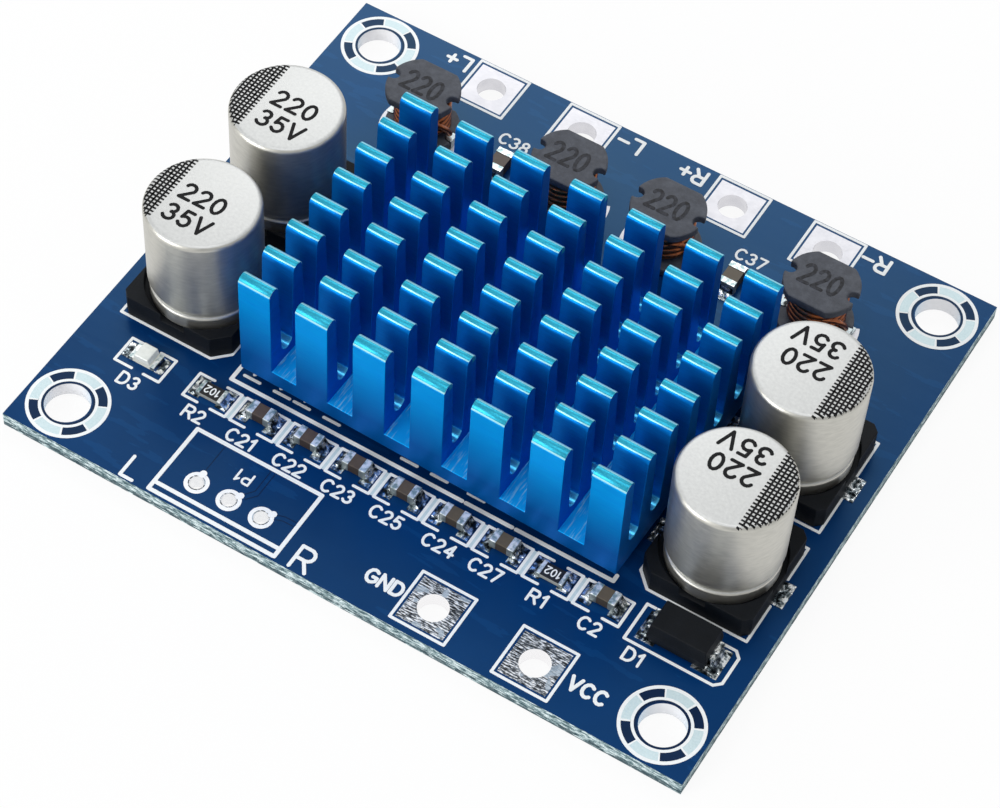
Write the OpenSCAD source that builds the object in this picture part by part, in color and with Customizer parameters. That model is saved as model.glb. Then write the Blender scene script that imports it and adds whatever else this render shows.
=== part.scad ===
// Stereo audio amplifier board. A blue circuit board carries the amplifier chip in its
// middle, with a cross-cut extruded heatsink bonded on top of the chip. Two capacitor cans
// stand on each side of the heatsink, four output inductors behind it, and a row of small
// chip parts in front of it. Wire pads lie along the front and rear edges.
//
// X runs along the front edge, Y from front to rear and Z up. The origin is the middle of
// the board's underside. The board grows with what it carries: its width and depth are the
// sums of the pieces and of the spaces between them.

/* [Board] */
// Thickness of the board
board_t = 1.2; // [0.8:0.1:2.4]
// Clear strip between the widest pieces and the side edges
side_margin = 1.65; // [1.2:0.05:8]
// Clear strip between the front wire pads and the front edge
front_margin = 0.8; // [0.3:0.1:6]
// Clear strip between the rear wire pads and the rear edge
rear_margin = 0.4; // [0.3:0.1:6]
// Diameter of the four mounting holes
hole_d = 3.2; // [2:0.1:4.2]
// Distance of the mounting holes from both edges
hole_inset = 3; // [2.4:0.1:4]

/* [Wire pads] */
// Side of a square wire pad
pad_w = 3.5; // [2.8:0.1:5]
// Diameter of the hole in a wire pad
pad_hole_d = 2.1; // [1:0.1:2.4]
// Distance of the inner pad of each pair from the middle of the board
pad_inner_x = 6.1; // [4:0.1:8]
// Distance between the two pads of a pair
pad_pitch = 7.5; // [6:0.1:9]
// Thickness of the tinned copper that lies flush in both faces of the board
land_t = 0.1; // [0.05:0.01:0.2]
// Wall of the plated barrel in a pad hole
barrel_t = 0.1; // [0.05:0.01:0.2]

/* [Header footprint] */
// Distance between the three holes for the input header
header_pitch = 2.5; // [2:0.02:4]
// Diameter of a header hole
header_hole_d = 1; // [0.6:0.05:1.3]
// Diameter of the round land at a header hole
header_land_d = 1.7; // [1.6:0.05:2]
// Distance of the header from the middle of the board, towards the left
header_x = 9.34; // [6:0.02:12]
// How far the header holes lie in front of the middle of the power pads
header_drop = 0.2; // [0:0.05:0.8]

/* [Heatsink] */
// Number of fins from front to rear
fin_count = 8; // [3:1:12]
// Distance from fin to fin
fin_pitch = 2.65; // [2.4:0.05:4]
// Thickness of a fin at its rounded tip
fin_tip_t = 1; // [0.7:0.05:1.2]
// Number of posts that the saw slots leave along each fin
post_count = 7; // [3:1:10]
// Length of a post along its fin
post_l = 2.48; // [1.5:0.02:5]
// Width of a saw slot
slot_w = 1.94; // [0.8:0.02:3]
// Height of the heatsink
sink_h = 9.4; // [6:0.1:20]
// Thickness left under the saw slots
slot_floor_t = 1.3; // [0.8:0.1:2]
// Thickness left under the round channels between the fins
channel_floor_t = 2.1; // [1:0.1:3]
// Width of a channel where its round bottom begins
channel_floor_w = 1.2; // [0.8:0.05:1.3]
// Offset of the heatsink from the middle of the board, towards the right
sink_x = 0.65; // [-1:0.05:1]
// Angle at which the heatsink was bonded, counter-clockwise from above
sink_turn = -1.33; // [-2:0.01:2]
// Free space between the heatsink and the can bases
sink_side_gap = 1.25; // [1.2:0.05:6]

/* [Amplifier chip] */
// Length of the chip's body
amp_l = 11; // [8:0.1:14]
// Width of the chip's body
amp_w = 6.1; // [4:0.1:8]
// Height of the chip's body
amp_h = 1.05; // [0.9:0.05:1.6]
// Gap under the chip's body
amp_stand = 0.1; // [0.05:0.01:0.15]
// Number of leads on each long side
amp_lead_count = 16; // [8:1:20]
// Distance from lead to lead
amp_lead_pitch = 0.65; // [0.4:0.01:0.7]
// Width of a lead
amp_lead_w = 0.24; // [0.15:0.01:0.3]
// Thickness of a lead
amp_lead_t = 0.15; // [0.1:0.01:0.2]
// How far a lead reaches out of the body
amp_lead_reach = 1; // [0.8:0.05:1.4]
// Thickness of the thermal adhesive between chip and heatsink
adhesive_t = 0.25; // [0.1:0.05:0.6]
// Strip of the chip's top that the adhesive leaves bare
adhesive_inset = 0.3; // [0.1:0.05:1]

/* [Capacitor cans] */
// Diameter of a can
can_d = 7.9; // [6:0.1:10]
// Height of a can above its base plate
can_h = 8.8; // [5:0.1:14]
// Radius of the round edge at the can's top
can_edge_r = 0.4; // [0.2:0.05:0.8]
// Depth of the groove that is rolled in round the can's foot
crimp_depth = 0.3; // [0.1:0.05:0.5]
// Radius of the roller that makes the groove
crimp_r = 0.35; // [0.2:0.05:0.5]
// Height of the groove above the base plate
crimp_z = 1.6; // [0.8:0.1:2]
// How far the can's foot steps in below the groove
foot_in = 0.1; // [0.05:0.05:0.3]
// How much wider the square base is than the can
base_lip = 0.3; // [0.1:0.05:1]
// Thickness of the base plate
base_t = 1.2; // [0.8:0.1:2]
// Height of the corner rims above the base plate
base_rim_h = 0.7; // [0.2:0.1:1]
// Play between the corner rims and the circle that just holds the base
base_rim_play = 0.1; // [0.05:0.05:0.3]
// Size of the two cut corners that mark the positive side
base_chamfer = 1.1; // [0.5:0.1:1.6]
// Size of the two smaller cut corners on the negative side
base_corner = 0.5; // [0.1:0.05:0.8]
// Free space between the bases of the two cans of a side
can_gap = 1.7; // [1:0.1:5]
// Width of a can's flat lead
can_lead_w = 0.9; // [0.5:0.05:1.4]
// Thickness of a can's flat lead
can_lead_t = 0.2; // [0.1:0.05:0.4]
// How far the lead comes out from under the base
can_lead_out = 0.7; // [0.3:0.05:1]
// Gap between the two leads under the can
can_lead_gap = 3.2; // [2:0.1:4]

/* [Inductors] */
// Length of the drum core over its round ends
core_l = 5.3; // [4:0.1:7]
// Width of the drum core over its flat sides
core_w = 4.5; // [4:0.1:7]
// Height of the drum core
core_h = 4.4; // [3:0.1:7]
// Thickness of the core's flanges
flange_t = 0.65; // [0.5:0.05:1]
// Diameter of the post between the flanges
core_post_d = 2.4; // [1.6:0.1:2.8]
// Outer diameter of the winding
winding_d = 4.1; // [3.5:0.1:4.3]
// Diameter of the winding wire
wire_d = 0.38; // [0.2:0.02:0.6]
// Play of the winding on the post
winding_play = 0.05; // [0.02:0.01:0.2]
// Width of the wire notches in the flanges
notch_w = 0.9; // [0.5:0.05:1.4]
// Depth of the wire notches
notch_depth = 0.7; // [0.4:0.05:0.9]
// Thickness of the terminal plates under the core
terminal_t = 0.15; // [0.1:0.05:0.3]
// Length of a terminal plate under the core
terminal_l = 1.5; // [1:0.1:1.8]
// Width of a terminal plate
terminal_w = 2.2; // [1.5:0.1:3]
// Play of the terminal's tongue in its notch
terminal_play = 0.05; // [0.02:0.01:0.1]
// Distance of the inner inductors from the middle of the board
inductor_inner_x = 3.9; // [3.6:0.1:5]
// Distance between the inductors of one channel
inductor_step = 11.8; // [10:0.1:14]
// Free space between the heatsink and the inductors
core_gap = 3.6; // [3:0.1:8]
// Free space between the inductors and the rear pads
rear_pad_gap = 1.975; // [0.5:0.025:5]

/* [Chip parts] */
// Distance from part to part in the front row
row_pitch = 3.74; // [3:0.02:4]
// Length of a part in the front row
row_part_l = 1.6; // [1.2:0.05:2]
// Width of a part in the front row
row_part_w = 0.8; // [0.6:0.05:1.3]
// Height of a chip resistor
resistor_h = 0.45; // [0.3:0.05:0.8]
// Height of a chip capacitor
capacitor_h = 0.85; // [0.4:0.05:1.2]
// Free space between the front wire pads and the row
row_front_gap = 4.35; // [3:0.05:8]
// Free space between the row and the heatsink
row_rear_gap = 1.025; // [1:0.025:5]
// Length of an output filter capacitor
filter_l = 2; // [1.5:0.1:2.6]
// Width of an output filter capacitor
filter_w = 1.25; // [0.8:0.05:1.6]
// Height of an output filter capacitor
filter_h = 1; // [0.5:0.05:1.4]
// Length of the metal cap on each end of a filter capacitor
filter_end_l = 0.5; // [0.3:0.05:0.65]
// Distance of a filter capacitor from the inner inductor of its channel
filter_step = 5.4; // [5:0.1:6]
// Length of a bootstrap capacitor beside the chip
boot_l = 1.6; // [1:0.05:2]
// Width of a bootstrap capacitor
boot_w = 0.8; // [0.5:0.05:1]
// Height of a bootstrap capacitor
boot_h = 0.8; // [0.4:0.05:0.9]
// Distance from one bootstrap capacitor to the next
boot_pitch = 2.9; // [2:0.1:3.4]
// Free space between the chip's leads and the bootstrap capacitors
boot_gap = 1; // [0.5:0.1:2]
// Length of the metal cap on each end of a chip part
end_l = 0.3; // [0.2:0.05:0.45]
// Thickness of that metal
end_t = 0.04; // [0.02:0.01:0.08]
// How far a solder fillet runs out on the board
solder_l = 0.45; // [0.2:0.05:0.5]
// Share of an end's height that the solder climbs
solder_climb = 0.7; // [0.3:0.05:1]

/* [Diode and indicator] */
// Length of the diode's body
diode_l = 4.2; // [3:0.1:4.6]
// Width of the diode's body
diode_w = 2.4; // [1.6:0.1:3]
// Height of the diode's body
diode_h = 1.9; // [1.4:0.1:2.6]
// Width of the diode's flat leads
diode_lead_w = 1.5; // [1:0.1:1.6]
// Thickness of the diode's flat leads
diode_lead_t = 0.2; // [0.1:0.05:0.3]
// How far a lead stands out of the diode's end
diode_lead_reach = 0.35; // [0.35:0.05:0.8]
// Length of the lead's foot under the diode
diode_foot_l = 0.9; // [0.5:0.1:1.4]
// How far the diode and the indicator lie in front of the row's middle line
side_drop = 0.25; // [0:0.05:0.5]
// Distance of the diode from the last part of the row
diode_step = 5.8; // [5:0.05:6]
// Length of the light-emitting diode
led_l = 2; // [1.4:0.1:2.6]
// Width of the light-emitting diode
led_w = 1.25; // [0.7:0.05:1.6]
// Thickness of its carrier plate
led_plate_t = 0.3; // [0.2:0.05:0.5]
// Height of its clear lens above the plate
led_lens_h = 0.5; // [0.3:0.05:0.8]
// Length of the lens
led_lens_l = 1.3; // [0.8:0.1:1.8]
// Distance of the light-emitting diode from the first part of the row
led_step = 5.34; // [4.4:0.02:6]

/* [Hidden] */
$fn = 64;
// Overshoot that lets a cut pass clean through a face
over = 0.2;
// Slope of moulded sides, as the inset from the parting line to the top
draft = 0.12;

// Front row from left to right: name and height of each part
ROW = [
    ["chip_resistor_1", resistor_h], ["chip_capacitor_1", capacitor_h],
    ["chip_capacitor_2", capacitor_h], ["chip_capacitor_3", capacitor_h],
    ["chip_capacitor_4", capacitor_h], ["chip_capacitor_5", capacitor_h],
    ["chip_capacitor_6", capacitor_h], ["chip_resistor_2", resistor_h],
    ["chip_capacitor_7", capacitor_h]
];
// Cans by corner: name, side in X and side in Y
CANS = [["front_left", -1, -1], ["front_right", 1, -1], ["rear_left", -1, 1], ["rear_right", 1, 1]];
// Inductors by channel: name, side in X and step out from the inner place
COILS = [["left_outer", -1, 1], ["left_inner", -1, 0], ["right_inner", 1, 0], ["right_outer", 1, 1]];

// Heatsink
sink_l = post_count * post_l + (post_count - 1) * slot_w;
sink_d = (fin_count - 1) * fin_pitch + fin_tip_t;
tip_r = fin_tip_t / 2;
tip_z = sink_h - tip_r;
sink_z = board_t + amp_stand + amp_h + adhesive_t;

// Places along X
base_w = can_d + base_lip;
can_x = sink_l / 2 + sink_side_gap + base_w / 2;
row_half = (len(ROW) - 1) / 2 * row_pitch;
diode_x = row_half + diode_step;
led_x = row_half + led_step;
pad_outer_x = pad_inner_x + pad_pitch;
inductor_outer_x = inductor_inner_x + inductor_step;
board_w = 2 * side_margin + 2 * max(
    can_x + base_w / 2, diode_x + diode_l / 2 + diode_lead_reach, led_x + led_l / 2,
    pad_outer_x + pad_w / 2, inductor_outer_x + core_l / 2);

// Places along Y, added up from the front edge
middle_d = max(sink_d, 2 * base_w + can_gap);
board_d = front_margin + pad_w + row_front_gap + row_part_w + row_rear_gap + middle_d
    + core_gap + core_w + rear_pad_gap + pad_w + rear_margin;
front_pad_y = -board_d / 2 + front_margin + pad_w / 2;
row_y = front_pad_y + pad_w / 2 + row_front_gap + row_part_w / 2;
sink_y = row_y + row_part_w / 2 + row_rear_gap + middle_d / 2;
core_y = sink_y + middle_d / 2 + core_gap + core_w / 2;
rear_pad_y = core_y + core_w / 2 + rear_pad_gap + pad_w / 2;
boot_y = sink_y + amp_w / 2 + amp_lead_reach + boot_gap + boot_l / 2;
header_y = front_pad_y - header_drop;
side_y = row_y - side_drop;

SPEAKER_PADS = [for (x = [-pad_outer_x, -pad_inner_x, pad_inner_x, pad_outer_x]) [x, rear_pad_y]];
POWER_PADS = [for (x = [pad_inner_x, pad_outer_x]) [x, front_pad_y]];
HEADER_PADS = [for (i = [-1:1]) [-header_x + i * header_pitch, header_y]];
BOOT_PLACES = [for (i = [-1.5:1:1.5]) [i * boot_pitch, boot_y]];
FILTER_X = inductor_inner_x + filter_step;

function row_x(i) = i * row_pitch - row_half;
function fin_y(i) = (i - (fin_count - 1) / 2) * fin_pitch;
function coil_x(c) = c[1] * (inductor_inner_x + c[2] * inductor_step);

// Carries a piece to the top of the board
module on_board(x, y, turn = 0) {
    translate([x, y, board_t]) rotate(turn) children();
}

// Puts a piece at all four mounting holes
module at_mounting_holes() {
    for (x = [-1, 1], y = [-1, 1])
        translate([x * (board_w / 2 - hole_inset), y * (board_d / 2 - hole_inset), 0]) children();
}

// Outer form of a plated hole: two lands joined by a barrel, each land grown outwards by extra
module plated_form(hole_d, extra = 0) {
    for (z = [-extra, board_t - land_t])
        translate([0, 0, z]) linear_extrude(land_t + extra) children();
    cylinder(d = hole_d + 2 * barrel_t, h = board_t);
}

// Plated hole with the land outline as its child
module plated_hole(hole_d) {
    difference() {
        plated_form(hole_d) children();
        translate([0, 0, -over]) cylinder(d = hole_d, h = board_t + 2 * over);
    }
}

// The board, drilled, with a shallow seat for every land
module circuit_board() {
    color("#14448f") difference() {
        translate([-board_w / 2, -board_d / 2, 0]) cube([board_w, board_d, board_t]);
        at_mounting_holes() translate([0, 0, -over]) cylinder(d = hole_d, h = board_t + 2 * over);
        for (p = concat(SPEAKER_PADS, POWER_PADS))
            translate(p) plated_form(pad_hole_d, over) square(pad_w, center = true);
        for (p = HEADER_PADS)
            translate(p) plated_form(header_hole_d, over) circle(d = header_land_d);
    }
}

module speaker_pads() {
    color("#d9dde0") for (p = SPEAKER_PADS)
        translate(p) plated_hole(pad_hole_d) square(pad_w, center = true);
}

module power_pads() {
    color("#d9dde0") for (p = POWER_PADS)
        translate(p) plated_hole(pad_hole_d) square(pad_w, center = true);
}

module header_pads() {
    color("#d9dde0") for (p = HEADER_PADS)
        translate(p) plated_hole(header_hole_d) circle(d = header_land_d);
}

// Block moulded in two halves: sides lean in above and below a straight band at mid height
module moulded_block(l, w, h, band) {
    module side(s) {
        polygon([
            [-s / 2 + draft, 0], [s / 2 - draft, 0], [s / 2, (h - band) / 2],
            [s / 2, (h + band) / 2], [s / 2 - draft, h], [-s / 2 + draft, h],
            [-s / 2, (h + band) / 2], [-s / 2, (h - band) / 2]
        ]);
    }
    intersection() {
        rotate([90, 0, 0]) linear_extrude(w, center = true) side(l);
        rotate([90, 0, 90]) linear_extrude(l, center = true) side(w);
    }
}

module amplifier_chip() {
    color("#1b1c1f") on_board(0, sink_y) translate([0, 0, amp_stand])
        moulded_block(amp_l, amp_w, amp_h, amp_lead_t);
}

// Gull-wing lead that leaves the chip's side at mid height and ends flat on the board
module amplifier_lead() {
    shoulder = amp_lead_reach * 0.3;
    heel = amp_lead_reach * 0.5;
    mid_z = amp_stand + amp_h / 2;
    rotate([90, 0, 90]) linear_extrude(amp_lead_w, center = true) polygon([
        [0, mid_z - amp_lead_t / 2], [shoulder - amp_lead_t / 2, mid_z - amp_lead_t / 2],
        [heel - amp_lead_t / 2, 0], [amp_lead_reach, 0], [amp_lead_reach, amp_lead_t],
        [heel + amp_lead_t / 2, amp_lead_t], [shoulder + amp_lead_t / 2, mid_z + amp_lead_t / 2],
        [0, mid_z + amp_lead_t / 2]
    ]);
}

module amplifier_chip_leads() {
    color("#c9ccd0") for (turn = [0, 180], i = [0:amp_lead_count - 1])
        on_board(0, sink_y, turn)
            translate([(i - (amp_lead_count - 1) / 2) * amp_lead_pitch, amp_w / 2, 0]) amplifier_lead();
}

module thermal_adhesive() {
    inset = 2 * (draft + adhesive_inset);
    color("#e6e6e0") on_board(0, sink_y) translate([0, 0, amp_stand + amp_h + adhesive_t / 2])
        cube([amp_l - inset, amp_w - inset, adhesive_t], center = true);
}

// Channel between two fins: a round bottom that opens towards the tips
module channel_profile() {
    mouth = (fin_pitch - fin_tip_t) / 2;
    floor_r = channel_floor_w / 2;
    floor_z = channel_floor_t + floor_r;
    translate([0, floor_z]) circle(r = floor_r);
    polygon([
        [-floor_r, floor_z], [floor_r, floor_z], [mouth, tip_z], [mouth, sink_h + over],
        [-mouth, sink_h + over], [-mouth, tip_z]
    ]);
}

// Section of the extrusion across its fins
module heatsink_profile() {
    difference() {
        union() {
            translate([-sink_d / 2, 0]) square([sink_d, tip_z]);
            for (i = [0:fin_count - 1]) translate([fin_y(i), tip_z]) circle(r = tip_r);
        }
        for (i = [0:fin_count - 2]) translate([fin_y(i) + fin_pitch / 2, 0]) channel_profile();
    }
}

// The extrusion, sawn across its fins into posts
module heatsink() {
    color("#1876cf") translate([sink_x, sink_y, sink_z]) rotate(sink_turn) difference() {
        rotate([90, 0, 90]) linear_extrude(sink_l, center = true) heatsink_profile();
        for (i = [1:post_count - 1])
            translate([i * (post_l + slot_w) - slot_w - sink_l / 2, -sink_d / 2 - over, slot_floor_t])
                cube([slot_w, sink_d + 2 * over, sink_h]);
    }
}

// Carries a piece to a can's place, with the positive side turned towards the heatsink
module at_can(c) {
    on_board(c[1] * can_x, sink_y + c[2] * (base_w + can_gap) / 2, c[1] > 0 ? 180 : 0) children();
}

// Square base with cut corners, corner rims round the can and grooves for the leads
module capacitor_base() {
    half = base_w / 2;
    color("#17181b") difference() {
        linear_extrude(base_t + base_rim_h) polygon([
            [base_corner - half, -half], [half - base_chamfer, -half], [half, base_chamfer - half],
            [half, half - base_chamfer], [half - base_chamfer, half], [base_corner - half, half],
            [-half, half - base_corner], [-half, base_corner - half]
        ]);
        translate([0, 0, base_t]) cylinder(d = base_w + 2 * base_rim_play, h = base_rim_h + over);
        capacitor_lead_pair(over);
    }
}

// Drawn can with a round top edge and a rolled groove above its foot
module capacitor_can() {
    can_r = can_d / 2;
    color("#cfcfca") translate([0, 0, base_t]) rotate_extrude($fn = 96) difference() {
        union() {
            square([can_r - foot_in, can_h - can_edge_r]);
            translate([0, crimp_z]) square([can_r, can_h - can_edge_r - crimp_z]);
            square([can_r - can_edge_r, can_h]);
            translate([can_r - can_edge_r, can_h - can_edge_r]) circle(r = can_edge_r);
        }
        translate([can_r + crimp_r - crimp_depth, crimp_z]) circle(r = crimp_r);
    }
}

// The two flat leads under a base, run on by extra below the board's top for a clean cut
module capacitor_lead_pair(extra = 0) {
    out = base_w / 2 + can_lead_out;
    for (turn = [0, 180]) rotate(turn)
        translate([can_lead_gap / 2, -can_lead_w / 2, -extra])
            cube([out - can_lead_gap / 2, can_lead_w, can_lead_t + extra]);
}

module capacitor_leads() {
    color("#c9ccd0") capacitor_lead_pair();
}

// Carries a piece to an inductor's place
module at_coil(c) {
    on_board(coil_x(c), core_y) children();
}

// Wire notches at both ends of a flange, with the given play left free all round
module notches(h, play = 0) {
    r = notch_w / 2 - play;
    for (turn = [0, 180]) rotate(turn) translate([core_l / 2 - notch_depth, 0, 0]) {
        translate([r + play, 0, 0]) cylinder(r = r, h = h);
        translate([r + play, -r, 0]) cube([notch_depth - r - play + over, 2 * r, h]);
    }
}

// Drum core: two round flanges with flat sides, joined by a post
module inductor_core() {
    module flange() {
        intersection() {
            cylinder(d = core_l, h = flange_t);
            translate([-core_l / 2, -core_w / 2, 0]) cube([core_l, core_w, flange_t]);
        }
    }
    color("#3a3a3e") translate([0, 0, terminal_t]) difference() {
        union() {
            flange();
            translate([0, 0, core_h - flange_t]) flange();
            cylinder(d = core_post_d, h = core_h);
        }
        translate([0, 0, -over]) notches(core_h + 2 * over);
    }
}

// Wound wire, whose outer turns show as ridges
module inductor_winding() {
    room = core_h - 2 * flange_t;
    turns = floor(room / wire_d);
    post_r = core_post_d / 2 + winding_play;
    ridge_r = winding_d / 2 - wire_d / 2;
    color("#a8602c") translate([0, 0, terminal_t + flange_t]) rotate_extrude() {
        translate([post_r, 0]) square([ridge_r - post_r, turns * wire_d]);
        for (i = [0:turns - 1]) translate([ridge_r, (i + 0.5) * wire_d]) circle(d = wire_d, $fn = 24);
    }
}

// Terminal plates under the core, each with a tongue that stands in the wire notch
module inductor_terminals() {
    color("#c9ccd0") {
        for (turn = [0, 180]) rotate(turn)
            translate([core_l / 2 - terminal_l, -terminal_w / 2, 0])
                cube([terminal_l, terminal_w, terminal_t]);
        intersection() {
            translate([0, 0, terminal_t]) notches(flange_t, terminal_play);
            cube([core_l, core_w, 4 * core_h], center = true);
        }
    }
}

// Ceramic body of a chip part, lying along X
module chip_body(l, w, h) {
    translate([0, 0, h / 2]) cube([l - 2 * end_t, w - 2 * end_t, h - 2 * end_t], center = true);
}

// Metal caps on both ends of a chip part
module chip_ends(l, w, h, cap_l = end_l) {
    difference() {
        for (turn = [0, 180]) rotate(turn) translate([l / 2 - cap_l, -w / 2, 0]) cube([cap_l, w, h]);
        chip_body(l, w, h);
    }
}

// Solder that climbs both ends of a chip part, l long, w wide and h high
module solder_pair(l, w, h) {
    climb = h * solder_climb;
    for (turn = [0, 180]) rotate(turn) translate([l / 2, 0, 0]) rotate([90, 0, 0])
        linear_extrude(w, center = true) polygon([
            [0, 0], [solder_l, 0], [solder_l, climb * 0.15], [solder_l * 0.35, climb * 0.4], [0, climb]
        ]);
}

module row_part(i) {
    color(ROW[i][1] == resistor_h ? "#232326" : "#6f5640")
        on_board(row_x(i), row_y) chip_body(row_part_l, row_part_w, ROW[i][1]);
}

module chip_part_ends() {
    color("#d0d3d6") for (i = [0:len(ROW) - 1])
        on_board(row_x(i), row_y) chip_ends(row_part_l, row_part_w, ROW[i][1]);
}

module filter_capacitor(side) {
    color("#6f5640") on_board(side * FILTER_X, core_y, 90) chip_body(filter_l, filter_w, filter_h);
}

module filter_capacitor_ends() {
    color("#d0d3d6") for (side = [-1, 1])
        on_board(side * FILTER_X, core_y, 90) chip_ends(filter_l, filter_w, filter_h, filter_end_l);
}

module bootstrap_capacitors() {
    color("#6f5640") for (p = BOOT_PLACES) on_board(p[0], p[1], 90) chip_body(boot_l, boot_w, boot_h);
}

module bootstrap_capacitor_ends() {
    color("#d0d3d6") for (p = BOOT_PLACES) on_board(p[0], p[1], 90) chip_ends(boot_l, boot_w, boot_h);
}

module diode_body() {
    color("#191a1c") on_board(diode_x, side_y) translate([0, 0, diode_lead_t])
        moulded_block(diode_l, diode_w, diode_h, diode_lead_t);
}

// Flat leads that leave the diode's ends at mid height and fold back under its body
module diode_leads() {
    mid_z = diode_lead_t + diode_h / 2;
    color("#c9ccd0") for (turn = [0, 180]) on_board(diode_x, side_y, turn)
        translate([diode_l / 2, 0, 0]) rotate([90, 0, 0])
            linear_extrude(diode_lead_w, center = true) polygon([
            [0, mid_z + diode_lead_t / 2], [diode_lead_reach, mid_z + diode_lead_t / 2],
            [diode_lead_reach, 0], [-diode_foot_l, 0], [-diode_foot_l, diode_lead_t],
            [diode_lead_reach - diode_lead_t, diode_lead_t],
            [diode_lead_reach - diode_lead_t, mid_z - diode_lead_t / 2], [0, mid_z - diode_lead_t / 2]
        ]);
}

module indicator_plate() {
    color("#e8e6da") on_board(-led_x, side_y)
        translate([0, 0, led_plate_t / 2]) cube([led_l - 2 * end_l, led_w, led_plate_t], center = true);
}

// Clear lens with leaning ends
module indicator_lens() {
    half = led_lens_l / 2;
    color("#f3f2e6") on_board(-led_x, side_y) translate([0, 0, led_plate_t]) rotate([90, 0, 0])
        linear_extrude(led_w, center = true)
            polygon([[-half, 0], [half, 0], [half - draft, led_lens_h], [draft - half, led_lens_h]]);
}

module indicator_ends() {
    color("#d0d3d6") for (turn = [0, 180]) on_board(-led_x, side_y, turn)
        translate([led_l / 2 - end_l, -led_w / 2, 0]) cube([end_l, led_w, led_plate_t]);
}

module solder_fillets() {
    color("#dfe2e4") {
        for (i = [0:len(ROW) - 1]) on_board(row_x(i), row_y) solder_pair(row_part_l, row_part_w, ROW[i][1]);
        for (side = [-1, 1]) on_board(side * FILTER_X, core_y, 90) solder_pair(filter_l, filter_w, filter_h);
        for (p = BOOT_PLACES) on_board(p[0], p[1], 90) solder_pair(boot_l, boot_w, boot_h);
        on_board(diode_x, side_y)
            solder_pair(diode_l + 2 * diode_lead_reach, diode_lead_w, diode_h / 2);
        on_board(-led_x, side_y) solder_pair(led_l, led_w, led_plate_t);
    }
}

circuit_board();
speaker_pads();
power_pads();
header_pads();
amplifier_chip();
amplifier_chip_leads();
thermal_adhesive();
heatsink();
for (c = CANS) {
    at_can(c) capacitor_base();
    at_can(c) capacitor_can();
    at_can(c) capacitor_leads();
}
for (c = COILS) {
    at_coil(c) inductor_core();
    at_coil(c) inductor_winding();
    at_coil(c) inductor_terminals();
}
for (i = [0:len(ROW) - 1]) {
    row_part(i);
}
chip_part_ends();
filter_capacitor(-1);  // filter_capacitor_left
filter_capacitor(1);  // filter_capacitor_right
filter_capacitor_ends();
bootstrap_capacitors();
bootstrap_capacitor_ends();
diode_body();
diode_leads();
indicator_plate();
indicator_lens();
indicator_ends();
solder_fillets();
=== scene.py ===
# %% [markdown]
# This lesson dresses an audio amplifier board: a blue circuit board with a sawn heatsink, four capacitor cans,
# four drum inductors and a row of chip parts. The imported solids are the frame. They are in metres and already
# in place, so nothing here moves them: the lesson adds finishes, print, solder and the finer shapes.

# %% Load the frame
from math import atan2, cos, pi, radians, sin, sqrt

import bmesh
import bpy
from mathutils import Matrix, Vector


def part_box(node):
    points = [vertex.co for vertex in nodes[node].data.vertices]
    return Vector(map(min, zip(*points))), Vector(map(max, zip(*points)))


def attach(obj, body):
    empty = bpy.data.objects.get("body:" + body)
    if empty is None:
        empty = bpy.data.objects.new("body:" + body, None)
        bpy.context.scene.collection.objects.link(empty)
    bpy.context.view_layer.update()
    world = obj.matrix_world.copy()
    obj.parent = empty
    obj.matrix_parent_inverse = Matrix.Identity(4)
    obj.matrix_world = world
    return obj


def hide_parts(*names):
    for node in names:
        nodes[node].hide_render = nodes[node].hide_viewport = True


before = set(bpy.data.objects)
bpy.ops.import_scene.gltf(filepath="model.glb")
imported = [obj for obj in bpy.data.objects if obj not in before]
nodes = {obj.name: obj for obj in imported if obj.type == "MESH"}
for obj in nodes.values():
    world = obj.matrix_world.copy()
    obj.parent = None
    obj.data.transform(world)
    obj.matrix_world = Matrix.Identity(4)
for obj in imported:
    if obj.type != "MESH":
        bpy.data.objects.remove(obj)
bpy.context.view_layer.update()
MM = 0.001

# %% [markdown]
# The camera comes first. The photograph was taken from the front
# right, well above the board, with a long lens. Three angles, a distance and a focal length fix it. The axes are
# worked out here as vectors, so that the small roll of the camera is one line.

# %% Camera
AZIMUTH, ELEVATION, ROLL = radians(28.0), radians(53.909), radians(4.105)
AIM = Vector((1.353, -3.544, 1.2)) * MM
DISTANCE = 206.561 * MM
SENSOR, FOCAL, NEAREST = 36.0, 112.33, 0.01


def photo_camera():
    right = Vector((cos(AZIMUTH), sin(AZIMUTH), 0.0))
    back = Vector((sin(AZIMUTH) * cos(ELEVATION), -cos(AZIMUTH) * cos(ELEVATION), sin(ELEVATION)))
    up = back.cross(right)
    across = right * cos(ROLL) + up * sin(ROLL)
    upward = up * cos(ROLL) - right * sin(ROLL)
    lens = bpy.data.cameras.new("photo_camera")
    lens.sensor_fit, lens.sensor_width, lens.lens, lens.clip_start = "HORIZONTAL", SENSOR, FOCAL, NEAREST
    holder = bpy.data.objects.new("photo_camera", lens)
    axes = Matrix((across, upward, back)).transposed().to_4x4()
    holder.matrix_world = Matrix.Translation(AIM + back * DISTANCE) @ axes
    bpy.context.scene.collection.objects.link(holder)
    bpy.context.scene.camera = holder
    return holder


camera = photo_camera()
print("camera stands at, in mm:", [round(v / MM, 1) for v in camera.matrix_world.translation])

# %% [markdown]
# Materials are networks of nodes. Wiring them by hand takes many lines, so one small class wraps a socket: sums
# and comparisons on it add Math nodes, and one method adds any other node. A finish is then a short function that
# returns what changes over the surface, and everything that is constant goes straight to the shader.

# %% A socket that can be used in sums


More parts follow.
